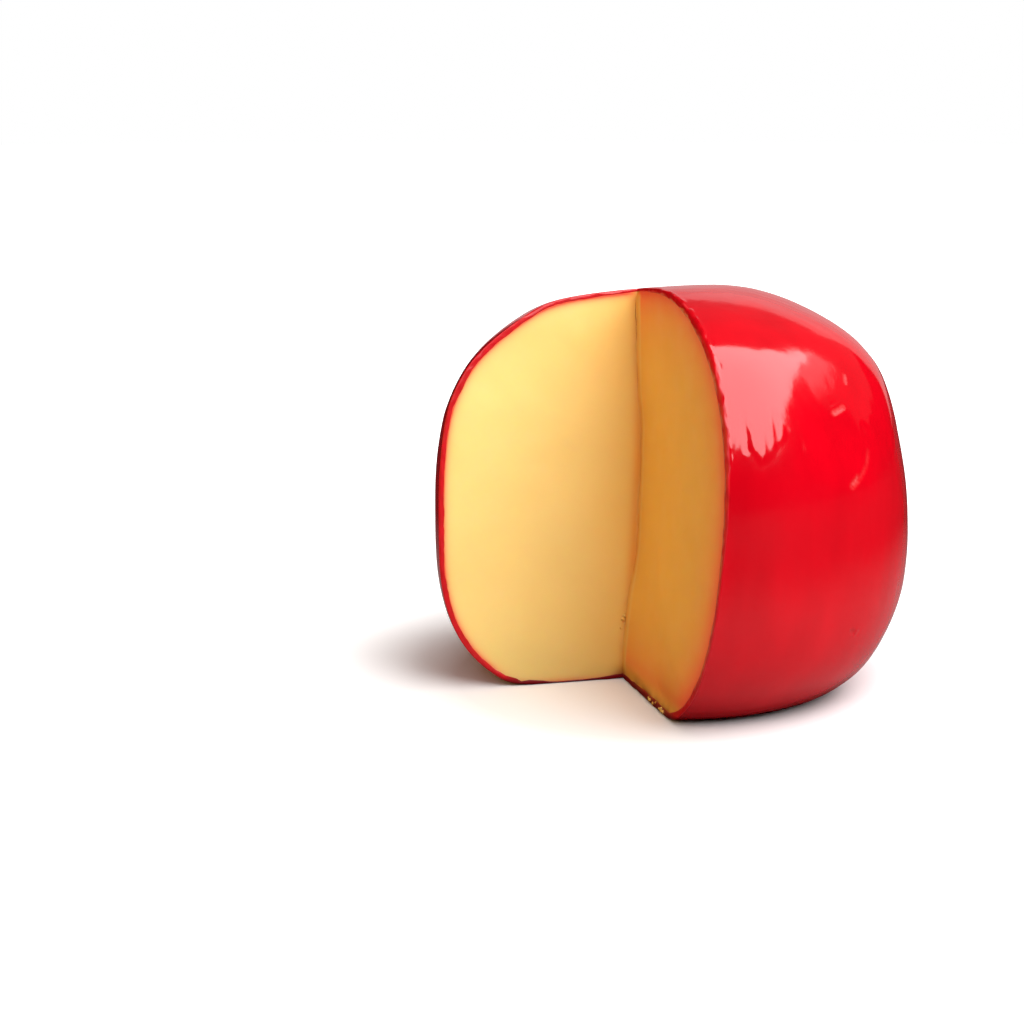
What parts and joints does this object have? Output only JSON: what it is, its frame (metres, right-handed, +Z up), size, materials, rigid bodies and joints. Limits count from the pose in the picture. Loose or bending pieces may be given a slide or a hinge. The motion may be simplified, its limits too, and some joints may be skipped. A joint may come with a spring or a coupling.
{
  "type": "cut ball of waxed cheese",
  "caption": "Ball of semi-hard cheese in a red wax coat, flat at the foot, with a quarter wedge cut out to its core.",
  "frame": {"origin": "where the ball's upright axis meets the surface that it stands on", "axes": "+Z up along the ball's axis; the two faces of the cut leave its inner corner along -X and along -Y"},
  "size_m": [0.1452, 0.146, 0.1224],
  "materials": {
    "red_wax": "glossy dyed wax, dipped, with run marks and small scuffs",
    "cheese": "smooth, moist, knife-cut semi-hard cheese, a little translucent"
  },
  "bodies": {
    "root": {"wax_coat": "red_wax", "cheese": "cheese"}
  },
  "joints": []
}
